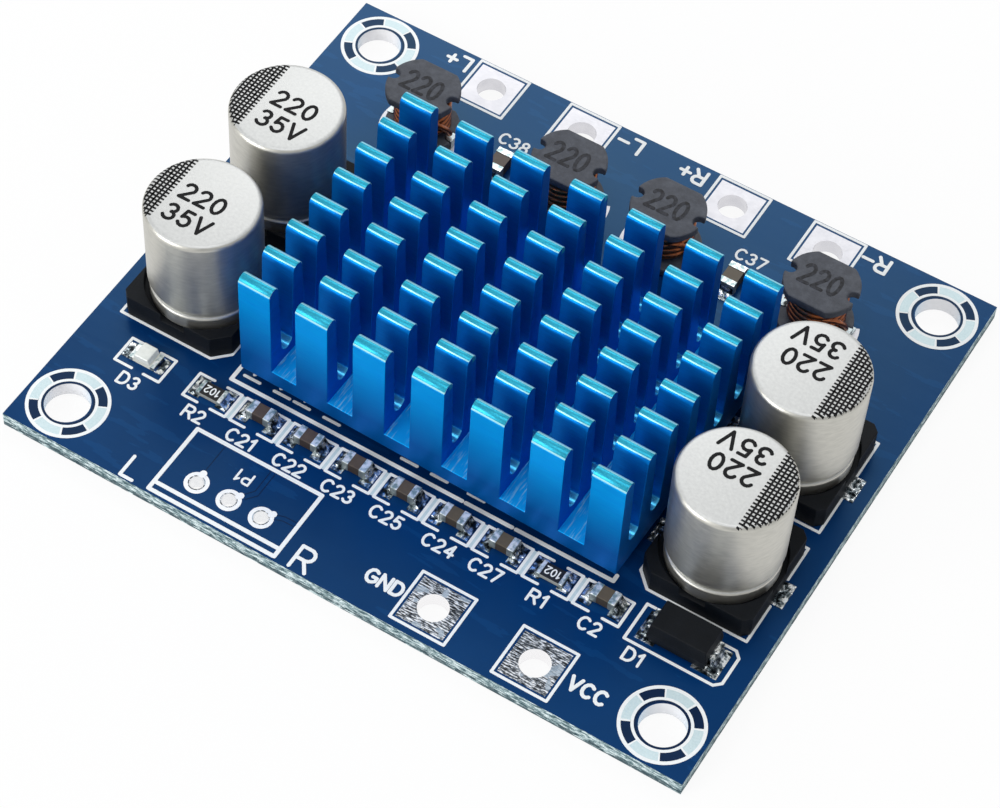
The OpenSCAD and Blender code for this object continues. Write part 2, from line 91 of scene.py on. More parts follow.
class Sock:
    """A node socket that takes part in sums and adds other nodes to its tree."""

    def __init__(self, tree, socket=None):
        self.tree, self.socket = tree, socket

    def node(self, kind, settings=None, sockets=None, out=0):
        made = self.tree.nodes.new("ShaderNode" + kind)
        for key, value in (settings or {}).items():
            if key == "stops":
                ramp = made.color_ramp.elements
                for spare in range(len(value) - len(ramp)):
                    ramp.new(0.5)
                for stop, (where, colour) in zip(ramp, value):
                    stop.position, stop.color = where, colour
            else:
                setattr(made, key, value)
        for key, value in (sockets or {}).items():
            if isinstance(value, Sock):
                self.tree.links.new(value.socket, made.inputs[key])
            else:
                made.inputs[key].default_value = value
        return Sock(self.tree, made.outputs[out]) if out is not None else made

    def math(self, operation, first, second=0.0):
        return self.node("Math", {"operation": operation}, {0: first, 1: second})

    def __add__(self, other):
        return self.math("ADD", self, other)

    def __sub__(self, other):
        return self.math("SUBTRACT", self, other)

    def __rsub__(self, other):
        return self.math("SUBTRACT", other, self)

    def __mul__(self, other):
        return self.math("MULTIPLY", self, other)

    def __gt__(self, other):
        return self.math("GREATER_THAN", self, other)

    def __lt__(self, other):
        return self.math("LESS_THAN", self, other)

    def __abs__(self):
        return self.math("ABSOLUTE", self)

    __radd__, __rmul__ = __add__, __mul__


def rgb(red, green, blue):
    """A colour written as in a picture editor, turned into the linear values that shaders use."""
    parts = [v / 255 for v in (red, green, blue)]
    return (*[v / 12.92 if v <= 0.04045 else ((v + 0.055) / 1.055) ** 2.4 for v in parts], 1.0)


def finish(name, paint, **constants):
    """A material from a paint function and the constants of its shader."""
    made = bpy.data.materials.new(name)
    made.use_nodes = True
    made.node_tree.nodes.clear()
    start = Sock(made.node_tree)
    fixed = {key.replace("_", " ").title().replace("Ior", "IOR"): value for key, value in constants.items()}
    shader = start.node("BsdfPrincipled", sockets={**fixed, **paint(start)})
    start.node("OutputMaterial", sockets={"Surface": shader}, out=None)
    return made


def grain(s, size, stretch=(1.0, 1.0, 1.0), detail=2.0, roughness=0.5):
    """Noise whose marks are about size millimetres across, drawn out by stretch along each axis."""
    place = s.node("TexCoord", out="Object")
    scale = [1.0 / (MM * size * pull) for pull in stretch]
    place = s.node("Mapping", sockets={"Vector": place, "Scale": scale})
    return s.node("TexNoise", sockets={"Vector": place, "Scale": 1.0, "Detail": detail, "Roughness": roughness})


def facing(s, axis):
    """How far the surface looks along an axis, from -1 to 1."""
    return s.node("SeparateXYZ", sockets={"Vector": s.node("TexCoord", out="Normal")}, out=axis)


def at(s, axis):
    """Place along an axis, in millimetres."""
    return s.node("SeparateXYZ", sockets={"Vector": s.node("TexCoord", out="Object")}, out=axis) * (1.0 / MM)


def blend(s, factor, first, second):
    return s.node("Mix", {"data_type": "RGBA"}, {0: factor, 6: first, 7: second}, out=2)


def ramp(s, value, *stops):
    return s.node("ValToRGB", {"stops": stops}, {"Fac": value})


def bump(s, height, depth, strength=1.0):
    """A bump of that depth in millimetres."""
    return s.node("Bump", sockets={"Height": height, "Distance": depth * MM, "Strength": strength})


print("socket class ready")

# %% [markdown]
# A product photograph like this is lit by large soft lamps, and its background is plain white. The floor shows
# white to the camera and to shiny surfaces and stays an ordinary pale surface for everything else, so it keeps a
# soft shadow. One lamp stands at the front left and lights the front of each fin, while the right sides face away
# from it; the heatsink's finish also paints the fronts brighter and the right sides darker. One hangs above and
# lights the round fin tips, where bright lines are painted as well, and a smaller one stands close behind, so that
# the rear of the board is lighter than the front, which lies in the shade of the heatsink.

# %% Floor, lamps and world
bpy.context.scene.view_settings.view_transform = "Standard"


def white_floor():
    bm = bmesh.new()
    bmesh.ops.create_grid(bm, x_segments=1, y_segments=1, size=1.5)
    bmesh.ops.translate(bm, verts=bm.verts, vec=(0.0, 0.0, -0.02 * MM))
    mesh = bpy.data.meshes.new("floor")
    bm.to_mesh(mesh)
    bm.free()
    made = bpy.data.materials.new("white_floor")
    made.use_nodes = True
    made.node_tree.nodes.clear()
    s = Sock(made.node_tree)
    seen = [s.node("LightPath", out=ray) for ray in ("Is Camera Ray", "Is Glossy Ray", "Is Transmission Ray")]
    white = s.node("Emission", sockets={"Color": (1.0, 1.0, 1.0, 1.0), "Strength": 1.0})
    matt = s.node("BsdfDiffuse", sockets={"Color": rgb(236, 236, 236)})
    shown = s.math("MINIMUM", seen[0] + seen[1] + seen[2], 1.0) * 0.9
    mixed = s.node("MixShader", sockets={0: shown, 1: matt, 2: white})
    s.node("OutputMaterial", sockets={"Surface": mixed}, out=None)
    mesh.materials.append(made)
    floor = bpy.data.objects.new("floor", mesh)
    bpy.context.scene.collection.objects.link(floor)


def soft_lamp(name, place, aim, size, radiance):
    lamp = bpy.data.lights.new(name, "AREA")
    lamp.shape, lamp.size, lamp.size_y = "RECTANGLE", size[0], size[1]
    lamp.energy = radiance * pi * size[0] * size[1]
    holder = bpy.data.objects.new(name, lamp)
    holder.location = place
    holder.rotation_euler = (Vector(aim) - Vector(place)).to_track_quat("-Z", "Y").to_euler()
    holder.visible_camera = False
    bpy.context.scene.collection.objects.link(holder)


def studio():
    world = bpy.data.worlds.new("studio")
    world.use_nodes = True
    back = world.node_tree.nodes["Background"].inputs
    back["Color"].default_value, back["Strength"].default_value = (0.97, 0.985, 1.0, 1.0), 0.62
    bpy.context.scene.world = world
    soft_lamp("front_left_lamp", (-0.30, -0.52, 0.27), (0.0, 0.0, 0.0), (0.35, 0.30), 7.0)
    soft_lamp("top_lamp", (0.02, -0.06, 0.55), (0.0, 0.0, 0.0), (0.34, 0.22), 2.7)
    soft_lamp("rear_lamp", (-0.105, 0.205, 0.225), (-0.005, 0.015, 0.0), (0.17, 0.09), 4.2)


white_floor()
studio()
print("floor, three lamps and a world")

# %% [markdown]
# The board is glass fibre laminate under a blue lacquer, the solder mask. The mask covers the two faces only, so
# the finish looks at which way the surface faces: up or down gives lacquer, sideways gives the bare laminate with
# its layers of fibre. Slow noise clouds the blue a little, as real lacquer does. The plated walls of the mounting
# holes are painted near white, as painted light from the white floor below them. Bare copper is tinned: the
# speaker pads are smooth, the header lands are painted brighter as light on lands that lie in shade, and on the
# power pads the tin has set in fine dark streaks.

# %% Board, print and tin
HOLE_X, HOLE_Y, HOLE_R, BORE_MARGIN = 22.5, 19.0, 1.6, 0.1


def paint_board(s):
    edge = abs(facing(s, "Z")) < 0.5
    near_x = abs(abs(at(s, "X")) - HOLE_X) < HOLE_R + BORE_MARGIN
    near_y = abs(abs(at(s, "Y")) - HOLE_Y) < HOLE_R + BORE_MARGIN
    # The bore walls are plated tin, painted near white as painted light from the white floor that shines up through the
    # holes.
    bore = edge * near_x * near_y
    cloud, streak = grain(s, 8.0, detail=3.0), grain(s, 0.9, (5.0, 1.0, 1.0), 4.0)
    lacquer = blend(s, cloud, rgb(0, 34, 80), rgb(2, 50, 104))
    lacquer = blend(s, (streak > 0.62) * 0.15, lacquer, rgb(20, 80, 142))
    fibre, pit = grain(s, 0.27, (2.0, 2.0, 0.6), 5.0, 0.7), grain(s, 0.16, (1.6, 1.6, 1.0), 4.0, 0.6)
    laminate = ramp(s, fibre, (0.40, rgb(66, 86, 90)), (0.5, rgb(146, 168, 170)), (0.6, rgb(222, 234, 234)))
    laminate = blend(s, 0.55 * (pit > 0.6), laminate, rgb(52, 70, 76))
    dark_foot = (at(s, "Z") < 0.44) * (grain(s, 0.3, (2.5, 2.5, 0.6), 4.0) > 0.46)
    laminate = blend(s, dark_foot * 0.8, laminate, rgb(48, 64, 70))
    colour = blend(s, edge, lacquer, laminate)
    return {
        "Base Color": blend(s, bore, colour, blend(s, fibre, rgb(238, 236, 237), rgb(252, 251, 252))),
        "Metallic": 0.3 * bore,
        "Roughness": 0.24 + 0.12 * cloud + 0.42 * (edge - bore) - 0.14 * bore,
        "Normal": bump(s, streak * (1 - edge) * 0.35 + fibre * (edge - bore) * 2.0, 0.02),
    }


def paint_masked_copper(s):
    cloud = grain(s, 3.0, detail=3.0)
    return {"Base Color": blend(s, cloud, rgb(8, 60, 116), rgb(16, 78, 138)), "Roughness": 0.26 + 0.12 * cloud}


def paint_print(s):
    thin = grain(s, 0.25, detail=4.0)
    return {
        "Base Color": blend(s, thin, rgb(228, 233, 234), rgb(246, 247, 247)),
        "Roughness": 0.5 + 0.2 * thin,
        "Normal": bump(s, thin, 0.01),
    }


# Dark lacquer for bare gaps, also used as painted shade at the edge of the mounting holes.
def paint_lacquer_and_shade(s):
    cloud = grain(s, 0.8, detail=3.0)
    return {"Base Color": blend(s, cloud, rgb(6, 12, 44), rgb(12, 24, 66)), "Roughness": 0.3 + 0.15 * cloud}


def paint_tin(s):
    wall = abs(facing(s, "Z")) < 0.5
    flow, fine = grain(s, 0.9, detail=2.0), grain(s, 0.12, (3.0, 1.0, 1.0), 3.0)
    return {
        "Base Color": blend(s, flow, rgb(206, 206, 212), rgb(228, 227, 231)),
        "Metallic": 0.25 + 0.75 * wall,
        "Roughness": 0.32 + 0.15 * fine - 0.2 * wall,
        "Normal": bump(s, (flow + 0.2 * fine) * (1 - wall), 0.03),
    }


# A brighter copy of the tin: painted light for the header lands, which lie in shade.
def paint_lit_header(s):
    return {**paint_tin(s), "Base Color": blend(s, grain(s, 0.4), rgb(234, 236, 239), rgb(252, 252, 253))}


def paint_levelled_tin(s):
    wall = abs(facing(s, "Z")) < 0.5
    swept, ridge = grain(s, 0.10, (5.0, 1.0, 1.0), 2.0), grain(s, 0.10, (2.0, 1.0, 1.0), 3.0, 0.6)
    patch = grain(s, 1.3, detail=2.0)
    worn = swept * 0.7 + ridge * 0.3 + (patch - 0.5) * 0.2
    lines = ramp(s, worn, (0.42, rgb(12, 15, 18)), (0.5, rgb(112, 117, 122)), (0.58, rgb(240, 242, 244)))
    lines = blend(s, 0.75 * (patch > 0.6), lines, blend(s, ridge, rgb(116, 132, 146), rgb(190, 204, 214)))
    return {
        "Base Color": blend(s, wall, lines, rgb(250, 249, 250)),
        "Metallic": 0.35 + 0.65 * wall,
        "Roughness": 0.36 + 0.15 * ridge - 0.22 * wall,
        "Normal": bump(s, worn * (1 - wall), 0.02),
    }


def paint_ring_tin(s):
    weave = grain(s, 0.14, (1.0, 1.0, 1.0), 3.0, 0.6)
    return {
        "Base Color": blend(s, weave, rgb(184, 207, 212), rgb(220, 235, 238)),
        "Roughness": 0.45 + 0.2 * weave,
        "Normal": bump(s, weave, 0.012),
    }


LACQUER = {"specular_ior_level": 0.45, "specular_tint": rgb(118, 196, 238)}
lacquered_board = finish("lacquered_board", paint_board, **LACQUER)
masked_copper = finish("masked_copper", paint_masked_copper, **LACQUER)
dark_lacquer_and_shade = finish("dark_lacquer_and_shade", paint_lacquer_and_shade, **LACQUER)
white_print = finish("white_print", paint_print)
bright_tin = finish("bright_tin", paint_tin)
lit_header_tin = finish("lit_header_tin", paint_lit_header)
levelled_tin = finish("levelled_tin", paint_levelled_tin)
ring_tin = finish("ring_tin", paint_ring_tin, metallic=0.3)
print("board finishes ready")

# %% [markdown]
# The heatsink is aluminium, anodised blue. The extrusion die leaves fine lines along the fins, and the saw leaves
# coarser ones across the slots. Which marks show depends on the face: those that look along the fins, and the low
# slot floors, show the saw. The blue also carries painted light: the outer front is painted brighter, more so towards
# its top, the channel walls and the faces that look along the fins are painted darker as shade, the round tips get a
# painted highlight with bright lines at their edges, and the slot floors and channel bottoms are painted pale as
# light and glints on them. A pigment in a clear oxide on metal is part shine and part paint, so the finish is mostly
# metallic with a rough sheen.

# %% Anodised aluminium, cans and plain metals
SINK_LOW, SINK_HIGH = [corner.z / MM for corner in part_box("heatsink")]
SINK_TURN, SINK_FRONT = radians(1.33), -11.51


def paint_anodised(s):
    up, back = facing(s, "Z"), facing(s, "Y")
    height, depth = at(s, "Z"), at(s, "X") * sin(SINK_TURN) + at(s, "Y") * cos(SINK_TURN)
    sawn_and_shaded, first = abs(facing(s, "X")) > 0.6, depth < SINK_FRONT + 1.05
    floor = (up > 0.6) * (height < SINK_LOW + 1.4)
    gutter_glint = (up > 0.35) * (height > SINK_LOW + 1.4) * (height < SINK_LOW + 3.0)
    edge = 0.72 - 0.5 * first
    tip = (height > SINK_HIGH - 0.6) * s.math("MAXIMUM", up > edge, (back > 0.0) * (up > 0.05))
    tip_highlight_lines = tip * s.math("MAXIMUM", back > 0.3, (back < 0.0) * (up < edge + 0.12 + 0.14 * first))
    die, saw = grain(s, 0.09, (14.0, 1.0, 1.0), 3.0), grain(s, 0.10, (1.0, 14.0, 6.0), 3.0)
    lines = die + (saw - die) * s.math("MAXIMUM", sawn_and_shaded, floor)
    rise = s.node("MapRange", sockets={"Value": height, "From Min": SINK_LOW + 2.0, "From Max": SINK_LOW + 7.4})
    # Painted light: the outer front is painted a brighter blue, darker at its foot and brighter towards its top; the
    # channel walls keep a darker blue as painted shade between the fins.
    lit_front = blend(s, rise, rgb(0, 92, 170), blend(s, lines, rgb(4, 152, 248), rgb(8, 184, 255)))
    blue = blend(s, lines, rgb(4, 98, 178), rgb(8, 124, 208))
    blue = blend(s, depth < SINK_FRONT + 0.2, blue, lit_front)
    # Painted shade: faces that look along the fins, away from the front left lamp, are painted a darker blue; the saw
    # lines on them are real.
    blue = blend(s, sawn_and_shaded, blue, blend(s, lines, rgb(4, 86, 170), rgb(8, 116, 206)))
    fine = grain(s, 0.06, (2.0, 1.0, 1.0), 3.0)
    # Painted highlight: the round tips are painted pale teal, and bright lines are painted along their front and rear
    # edges.
    blue = blend(s, tip, blue, blend(s, fine, rgb(14, 104, 152), rgb(66, 196, 214)))
    blue = blend(s, 0.75 * tip_highlight_lines, blue, rgb(186, 244, 252))
    # The slot floors are painted a pale blue as light on them, under the real saw streaks.
    streak = s.node("MapRange", sockets={"Value": saw, "From Min": 0.54, "From Max": 0.72})
    blue = blend(s, floor, blue, blend(s, 0.7 * streak, rgb(20, 172, 250), rgb(160, 226, 250)))
    # The channel bottoms are painted pale cyan as glints.
    return {
        "Base Color": blend(s, 0.7 * gutter_glint, blue, rgb(96, 210, 246)),
        "Roughness": 0.27 + 0.16 * lines + 0.15 * floor - 0.1 * gutter_glint,
        "Normal": bump(s, lines, 0.006),
    }


def paint_can(s):
    top = facing(s, "Z") > 0.8
    drawn, speck = grain(s, 0.25, (3.0, 3.0, 0.8), 4.0), grain(s, 0.22, detail=4.0)
    mark = speck + (drawn - speck) * (1 - top)
    side_tone = blend(s, mark, rgb(176, 175, 168), rgb(214, 212, 204))
    return {
        "Base Color": blend(s, top, side_tone, blend(s, mark, rgb(184, 185, 184), rgb(214, 215, 213))),
        "Metallic": 0.92 - 0.4 * top,
        "Roughness": 0.34 + 0.12 * mark + 0.06 * top,
        "Normal": bump(s, mark, 0.008),
    }


def paint_plain_metal(s):
    worn = grain(s, 0.3, detail=3.0)
    return {
        "Base Color": blend(s, worn, rgb(112, 124, 128), rgb(206, 216, 218)),
        "Roughness": 0.25 + 0.2 * worn,
        "Normal": bump(s, worn, 0.015),
    }


def paint_end_cap(s):
    flow, up = grain(s, 0.35, detail=3.0), facing(s, "Z") > 0.6
    # The sides of the caps are painted darker than their tops, as shade, and the tops are painted bright, up to near
    # white, as highlight.
    return {
        "Base Color": blend(s, up, blend(s, flow, rgb(70, 84, 86), rgb(180, 190, 190)), ramp(
            s, flow, (0.38, rgb(142, 166, 168)), (0.50, rgb(222, 230, 230)), (0.60, rgb(252, 253, 253)))),
        "Roughness": 0.22 + 0.2 * flow,
        "Normal": bump(s, flow, 0.03),
    }


def paint_solder(s):
    flow = grain(s, 0.42, detail=2.0, roughness=0.5)
    # Painted reflection: the colour runs from dark, where the solder mirrors its dark surroundings, to near white
    # glints; the lumps themselves are the bump.
    return {
        "Base Color": ramp(s, flow, (0.40, rgb(40, 48, 54)), (0.50, rgb(128, 140, 146)), (0.58, rgb(246, 249, 250))),
        "Roughness": 0.12 + 0.12 * flow,
        "Normal": bump(s, flow, 0.10),
    }


def paint_copper(s):
    worn = grain(s, 0.25, detail=3.0)
    # The wire is painted dark, down to near black, as the shade under the flanges, with brighter copper in patches.
    return {
        "Base Color": blend(s, worn, rgb(64, 28, 13), rgb(200, 112, 58)),
        "Roughness": 0.22 + 0.15 * worn,
        "Normal": bump(s, worn, 0.01),
    }


blue_anodised = finish(
    "blue_anodised", paint_anodised, metallic=0.56, specular_ior_level=0.2, specular_tint=rgb(90, 190, 255),
)
can_aluminium = finish("can_aluminium", paint_can)
lead_metal = finish("lead_metal", paint_plain_metal, metallic=0.9)
end_metal = finish("end_metal", paint_end_cap, metallic=0.55)
solder = finish("solder", paint_solder, metallic=0.85)
copper_wire = finish("copper_wire", paint_copper, metallic=0.9, coat_weight=0.4)
print("metal finishes ready")

# %% [markdown]
# The other materials are dull: black moulded plastic, sintered ferrite, brown capacitor ceramic and the black
# glaze of a chip resistor, which covers only its top. Each gets the grain that it has at this size, some tenths
# of a millimetre.

# %% Plastics, ferrite and ceramics


def paint_black(s):
    skin, dust = grain(s, 0.12, detail=3.0), grain(s, 0.9, detail=4.0)
    return {
        "Base Color": blend(s, dust, rgb(6, 9, 13), rgb(16, 20, 26)),
        "Roughness": 0.45 + 0.2 * skin,
        "Normal": bump(s, skin, 0.012),
    }


def paint_ferrite(s):
    coarse, fine = grain(s, 0.5, detail=5.0, roughness=0.65), grain(s, 0.09, detail=3.0)
    return {
        "Base Color": ramp(s, coarse, (0.3, rgb(62, 65, 72)), (0.5, rgb(72, 75, 83)), (0.7, rgb(84, 88, 96))),
        "Roughness": 0.55 + 0.25 * fine,
        "Normal": bump(s, coarse + 0.4 * fine, 0.03),
    }


def paint_ceramic(s):
    mottle, side = grain(s, 0.35, detail=4.0), facing(s, "Z") < 0.5
    batch = s.node("MapRange", sockets={"Value": at(s, "X"), "From Min": -6.0, "From Max": 4.0})
    body = blend(s, batch, rgb(64, 50, 44), rgb(80, 72, 56))
    body = blend(s, 0.5 * mottle, body, rgb(104, 90, 74))
    # The sides are painted a darker brown as shade; the ceramic is the same all round.
    return {
        "Base Color": blend(s, 0.6 * side, body, rgb(30, 24, 20)),
        "Roughness": 0.35 + 0.2 * mottle,
        "Normal": bump(s, mottle, 0.01),
    }


def paint_resistor(s):
    top, skin = facing(s, "Z") > 0.6, grain(s, 0.2, detail=3.0)
    glaze = blend(s, skin, rgb(10, 10, 13), rgb(28, 28, 32))
    # The sides are bare alumina, as the glaze covers only the top; they are painted a mid grey, darker than alumina, as
    # shade.
    return {
        "Base Color": blend(s, top, blend(s, skin, rgb(120, 122, 118), rgb(176, 178, 172)), glaze),
        "Roughness": 0.3 + 0.25 * skin,
        "Normal": bump(s, skin, 0.008),
    }


def paint_adhesive(s):
    lump = grain(s, 0.6, detail=3.0)
    return {"Base Color": blend(s, lump, rgb(190, 190, 186), rgb(226, 226, 222)), "Roughness": 0.6 + 0.2 * lump}


def paint_plate(s):
    skin = grain(s, 0.2, detail=3.0)
    return {"Base Color": blend(s, skin, rgb(206, 208, 198), rgb(236, 236, 226)), "Roughness": 0.45 + 0.2 * skin}


def paint_lens(s):
    haze = grain(s, 0.5, detail=2.0)
    return {
        "Base Color": blend(s, haze, rgb(214, 220, 214), rgb(240, 242, 236)),
        "Roughness": 0.12 + 0.15 * haze,
        "Normal": bump(s, haze, 0.02),
    }


def paint_dark_ink(s):
    thin = grain(s, 0.2, detail=3.0)
    return {"Base Color": blend(s, thin, rgb(4, 4, 6), rgb(14, 14, 16)), "Roughness": 0.5 + 0.2 * thin}


def paint_worn_ink(s):
    thin = grain(s, 0.3, detail=4.0, roughness=0.6)
    return {"Base Color": ramp(s, thin, (0.4, rgb(26, 26, 30)), (0.65, rgb(58, 60, 67))), "Roughness": 0.5 + 0.2 * thin}


black_moulding = finish("black_moulding", paint_black, specular_ior_level=0.16)
dull_ferrite = finish("dull_ferrite", paint_ferrite)
brown_ceramic = finish("brown_ceramic", paint_ceramic)
resistor_glaze = finish("resistor_glaze", paint_resistor)
grey_adhesive = finish("grey_adhesive", paint_adhesive)
indicator_plate = finish("indicator_plate", paint_plate)
indicator_lens = finish("indicator_lens", paint_lens, coat_weight=0.5)
dark_ink = finish("dark_ink", paint_dark_ink, specular_ior_level=0.2)
worn_ink = finish("worn_ink", paint_worn_ink, specular_ior_level=0.3)
print("dull finishes ready")

# %% [markdown]
# Every solid of the frame gets its finish by the start of its name. The longer names come first, so that leads
# don't take the finish of the body that they belong to.

# %% Finishes on the solids
FINISH_OF = {
    "circuit_board": lacquered_board, "speaker_pads": bright_tin, "power_pads": levelled_tin,
    "header_pads": lit_header_tin, "amplifier_chip_leads": lead_metal, "amplifier_chip": black_moulding,
    "thermal_adhesive": grey_adhesive, "heatsink": blue_anodised, "capacitor_base": black_moulding,
    "capacitor_can": can_aluminium, "capacitor_leads": solder, "inductor_core": dull_ferrite,
    "inductor_winding": copper_wire, "inductor_terminals": lead_metal, "chip_resistor": resistor_glaze,
    "chip_capacitor": brown_ceramic, "chip_part_ends": end_metal, "filter_capacitor_ends": end_metal,
    "filter_capacitor": brown_ceramic, "bootstrap_capacitor_ends": end_metal,
    "bootstrap_capacitors": brown_ceramic, "diode_body": black_moulding, "diode_leads": solder,
    "indicator_plate": indicator_plate, "indicator_lens": indicator_lens, "indicator_ends": end_metal,
    "solder_fillets": solder,
}


def finish_for(name):
    return next(made for start, made in FINISH_OF.items() if name.startswith(start))


for name, thing in nodes.items():
    if not thing.material_slots:
        thing.data.materials.append(None)
    for place in thing.material_slots:
        place.material = finish_for(name)
print("finishes given to", len(nodes), "solids")

# %% [markdown]
# New pieces all end the same way: normals set outwards, mesh made, finish given, and the object tied to the body
# that it rides on. A second helper takes a copy of a solid, merges its loose triangles and softens its edges.
# Real edges are never sharp, and the thin line of light on them is what makes a part look real.

# %% Helpers that finish a piece


def piece(name, bm, made, instead_of=(), smooth=None):
    bmesh.ops.recalc_face_normals(bm, faces=bm.faces)
    mesh = bpy.data.meshes.new(name)
    bm.to_mesh(mesh)
    bm.free()
    mesh.materials.append(made)
    if smooth:
        mesh.shade_smooth()
        mesh.set_sharp_from_angle(angle=radians(smooth))
    thing = bpy.data.objects.new(name, mesh)
    bpy.context.scene.collection.objects.link(thing)
    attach(thing, "root")
    if instead_of:
        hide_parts(*instead_of)
    print(name, "has", len(mesh.polygons), "faces")
    return thing


def softened(node, name, width, steps=2, smooth=None):
    """A copy of a solid with its sharp edges rounded by a small width in millimetres."""
    bm = bmesh.new()
    bm.from_mesh(nodes[node].data)
    bmesh.ops.remove_doubles(bm, verts=bm.verts, dist=0.0005 * MM)
    bmesh.ops.dissolve_limit(bm, angle_limit=radians(1.0), verts=bm.verts, edges=bm.edges)
    sharp = [e for e in bm.edges if len(e.link_faces) == 2 and e.calc_face_angle(0.0) > radians(32.0)]
    bmesh.ops.bevel(
        bm, geom=sharp, offset=width * MM, offset_type="OFFSET", affect="EDGES", segments=steps, profile=0.5,
        material=-1, clamp_overlap=True,
    )
    return piece(name, bm, finish_for(node), (node,), smooth)


softened("heatsink", "finned_heatsink", 0.05)
softened("diode_body", "moulded_diode", 0.06)
softened("indicator_lens", "clear_lens", 0.08, 3)
softened("filter_capacitor_ends", "filter_end_caps", 0.06)
CORNERS = ("front_left", "front_right", "rear_left", "rear_right")
COILS = ("left_outer", "left_inner", "right_inner", "right_outer")
for corner in CORNERS:
    softened("capacitor_base_" + corner, "can_base_" + corner, 0.07)
for coil in COILS:
    softened("inductor_core_" + coil, "drum_core_" + coil, 0.10, 2, 24.0)

# %% [markdown]
# The chip parts of the front row are blocks of ceramic with a metal cap at either end. On the real board they fill
# their printed frames, so they are built here at their full width. A cube that is scaled and bevelled makes both
# the body and the caps. Solder climbs the caps in a hollow slope: a block, cut into steps that sink outwards.

# %% Chip parts and their solder
LAND_REACH, SOLDER_STEPS, SOLDER_EDGE, INSET = 1.47, 4, 0.06, 0.03
# middle of the part from front to rear, its length, its width and the length of a cap
CHIP = {"resistor": (-13.28, 1.95, 1.16, 0.3), "capacitor": (-13.04, 1.8, 1.1, 0.5)}
ROW_NODES = [name for name in nodes if name.startswith(("chip_resistor", "chip_capacitor"))]
ROW_NODES.sort(key=lambda name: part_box(name)[0].x)


def block(bm, low, high, soft=0.0):
    """A box between two corners in millimetres, with its edges rounded."""
    size = Matrix.Diagonal((*[(b - a) * MM for a, b in zip(low, high)], 1.0))
    middle = Matrix.Translation([(a + b) / 2 * MM for a, b in zip(low, high)])
    made = bmesh.ops.create_cube(bm, size=1.0, matrix=middle @ size)["verts"]
    edges = list({e for v in made for e in v.link_edges})
    if soft:
        bmesh.ops.bevel(
            bm, geom=edges, offset=soft * MM, offset_type="OFFSET", affect="EDGES", segments=2, profile=0.5,
            material=-1,
        )
    return edges


def slope(bm, near, far, front, rear, low, high):
    """Solder from the end of a cap down to the end of its land."""
    edges = block(bm, (min(near, far), front, low), (max(near, far), rear, high))
    along = [e for e in edges if abs((e.verts[0].co - e.verts[1].co).x) > 0.1 * MM]
    cut = bmesh.ops.subdivide_edges(bm, edges=along, cuts=SOLDER_STEPS)["geom_inner"]
    inner = {v for v in cut if isinstance(v, bmesh.types.BMVert)}
    for v in inner.union(*(e.verts for e in edges)):
        if v.co.z > (low + 0.01) * MM:
            out = (v.co.x / MM - near) / (far - near)
            v.co.z = (low + SOLDER_EDGE + (high - low - SOLDER_EDGE) * (1.0 - out) ** 2) * MM


end_caps, joints = bmesh.new(), bmesh.new()
joints.from_mesh(nodes["solder_fillets"].data)
row_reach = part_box(ROW_NODES[-1])[1].x / MM + 1.0
in_row = [v for v in joints.verts if abs(v.co.x) < row_reach * MM and v.co.y < -11.0 * MM]
bmesh.ops.delete(joints, geom=in_row, context="VERTS")
for name in ROW_NODES:
    low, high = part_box(name)
    x, top = (low.x + high.x) / 2 / MM, high.z / MM
    foot, kind = low.z / MM, name.split("_")[1]
    y, length, width, cap = CHIP[kind]
    front, rear, half = y - width / 2, y + width / 2, (length - cap) / 2
    body = bmesh.new()
    block(body, (x - half, front + INSET, foot), (x + half, rear - INSET, top - INSET), 0.04)
    for side in (-1, 1):
        tip = x + side * length / 2
        ends = sorted((tip, tip - side * cap))
        block(end_caps, (ends[0], front, foot), (ends[1], rear, top), 0.06)
        slope(joints, tip, x + side * LAND_REACH, front, rear, foot, foot + 0.75 * (top - foot))
    piece("row_" + name, body, finish_for(name), (name,))
piece("chip_end_caps", end_caps, end_metal, ("chip_part_ends",))
piece("solder_joints", joints, solder, ("solder_fillets",), 40.0)

# %% [markdown]
# A capacitor can is drawn from sheet aluminium, so it is round all the way: a profile of a few points, turned
# once about its axis, is the whole shape. The spin gives many more steps than the solid has, so the side shows
# no flats. The top edge is a quarter round, and above the foot a groove is rolled in that holds the seal.

# %% Capacitor cans
CAN_EDGE, BEAD_Z, BEAD_R, GROOVE_IN = 0.4, 1.1, 0.18, 0.3


def bow(x, y, across, up, first, last, steps=8):
    """Points on an arc between two angles in degrees."""
    turns = [radians(first + (last - first) * i / steps) for i in range(steps + 1)]
    return [(x + across * cos(t), y + up * sin(t)) for t in turns]


def can_profile(radius, low, high):
    """Points from the foot to the middle of the top, as radius and height in millimetres."""
    foot = [(radius - 0.24, low), (radius - 0.12, low + 0.12)]
    bead = [(x + radius - 0.1 - BEAD_R, z + low + BEAD_Z) for x, z in bow(0.0, 0.0, BEAD_R, BEAD_R, 0, 90, 6)]
    neck = radius - GROOVE_IN
    groove = [(neck, low + 1.5), (neck + 0.03, low + 1.7), (radius - 0.1, low + 1.88), (radius, low + 1.98)]
    edge = [(x + radius - CAN_EDGE, z + high - CAN_EDGE) for x, z in bow(0.0, 0.0, CAN_EDGE, CAN_EDGE, 0, 90, 6)]
    return foot + bead + groove + edge + [(0.0, high)]


def spun(bm, profile, centre, steps=128):
    """Turns a profile once about an upright axis."""
    verts = [bm.verts.new((centre[0] + r * MM, centre[1], z * MM)) for r, z in profile]
    edges = [bm.edges.new(pair) for pair in zip(verts, verts[1:])]
    bmesh.ops.spin(
        bm, geom=verts + edges, cent=(centre[0], centre[1], 0.0), axis=(0.0, 0.0, 1.0), dvec=(0.0, 0.0, 0.0),
        angle=2 * pi, steps=steps, use_merge=True, use_duplicate=False,
    )
    bmesh.ops.remove_doubles(bm, verts=bm.verts, dist=0.0005 * MM)


